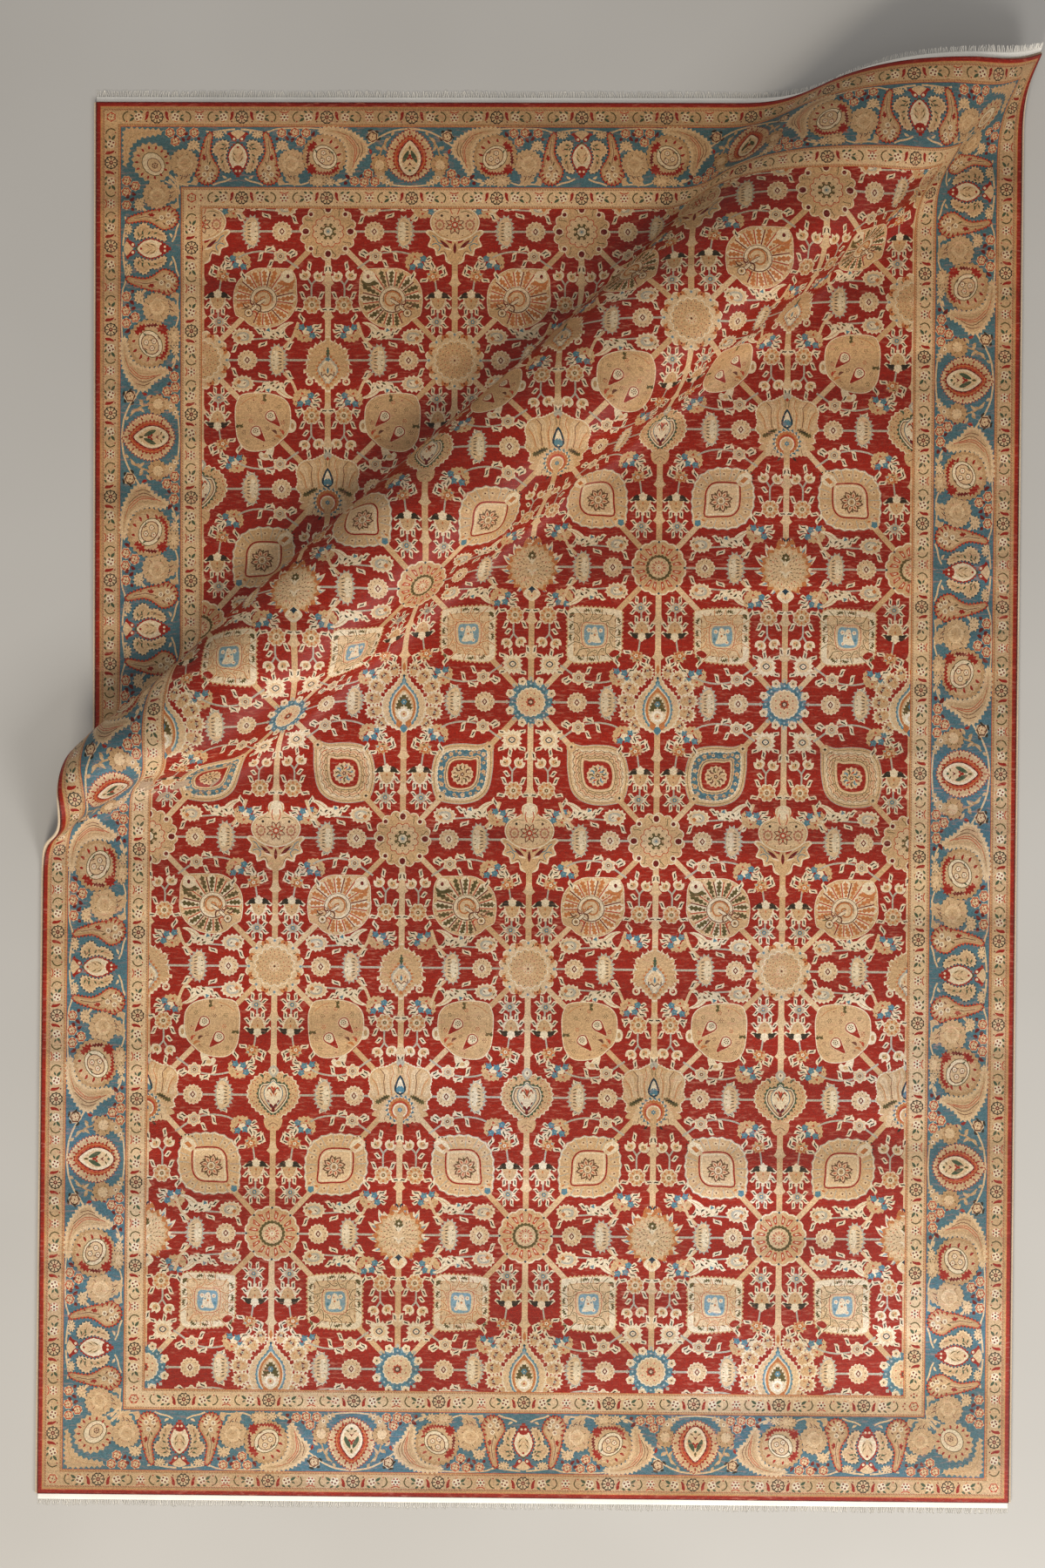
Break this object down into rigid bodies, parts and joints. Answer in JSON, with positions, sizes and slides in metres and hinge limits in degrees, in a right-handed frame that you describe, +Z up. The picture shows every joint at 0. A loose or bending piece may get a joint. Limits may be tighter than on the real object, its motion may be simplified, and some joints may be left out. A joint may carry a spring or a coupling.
{
  "type": "machine-made rug",
  "caption": "Rectangular pile rug with a bordered vase and lattice pattern, bound long edges and fringed ends, lying on a floor with a long ridge pushed up across it",
  "frame": {"origin": "on the floor, under the centre of the woven cloth", "axes": "+X across the rug to the right, +Y along it away from the viewer, both square to its flat near part; +Z up from the floor to the pile"},
  "size_m": [2.0341, 3.0096, 0.1629],
  "materials": {
    "pile": "short dense cut pile, red ground with beige, teal, green, blue and brown figures, worn flecks and a soft sheen",
    "binding_yarn": "beige yarn wound closely over the edge cord",
    "fringe_yarn": "flat-woven cream header with loose cream warp ends"
  },
  "bodies": {
    "root": {"rug_cloth": "pile", "edge_binding_left": "binding_yarn", "edge_binding_right": "binding_yarn", "fringe_far": "fringe_yarn", "fringe_near": "fringe_yarn"}
  },
  "joints": []
}
